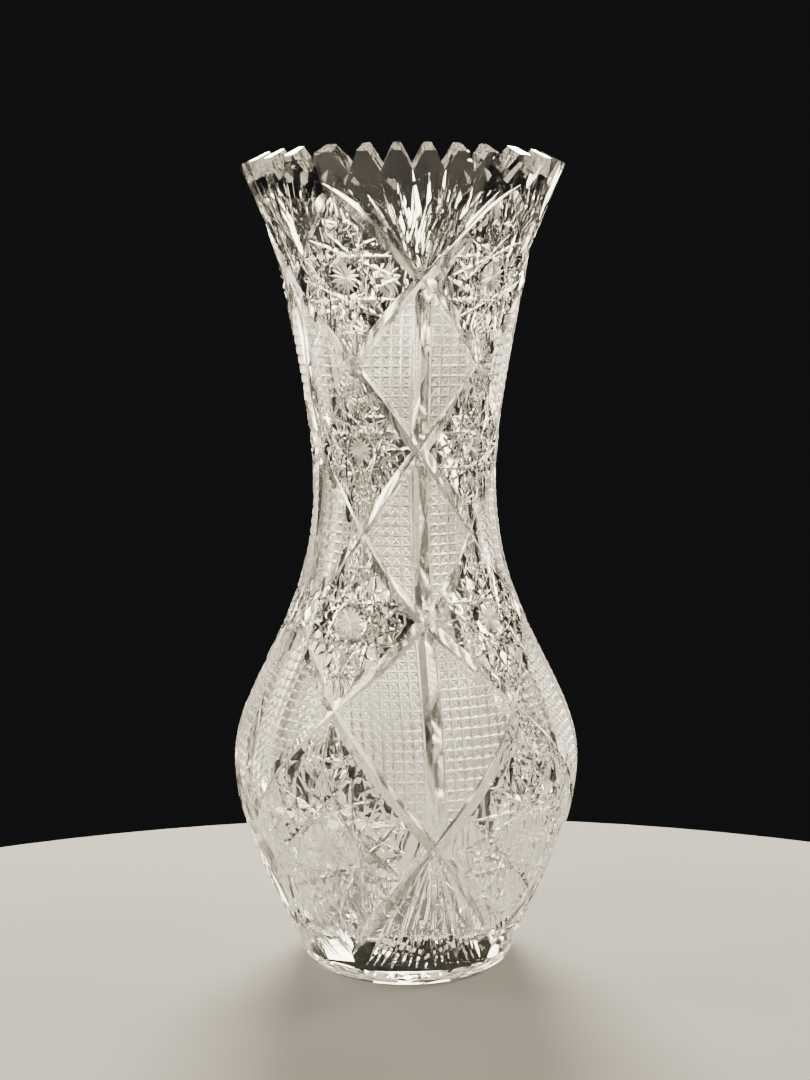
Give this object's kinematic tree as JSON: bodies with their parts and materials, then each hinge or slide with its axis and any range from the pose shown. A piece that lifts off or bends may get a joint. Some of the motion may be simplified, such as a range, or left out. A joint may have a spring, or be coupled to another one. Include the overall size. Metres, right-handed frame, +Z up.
{
  "type": "cut crystal vase",
  "caption": "Open waisted glass vase with a sawtooth flared rim, wide belly and small round foot, cut all over with crossing grooves, crosshatched diamonds and stars.",
  "frame": {"origin": "centre of the flat underside of the foot, on the axis of the vase", "axes": "+Z up the axis of the vase, -Y towards a column of crossings that carries split diamonds"},
  "size_m": [0.0888, 0.0888, 0.203],
  "materials": {
    "crystal": "clear lead crystal, polished, with bright cut facets"
  },
  "bodies": {
    "root": {"vase": "crystal"}
  },
  "joints": []
}
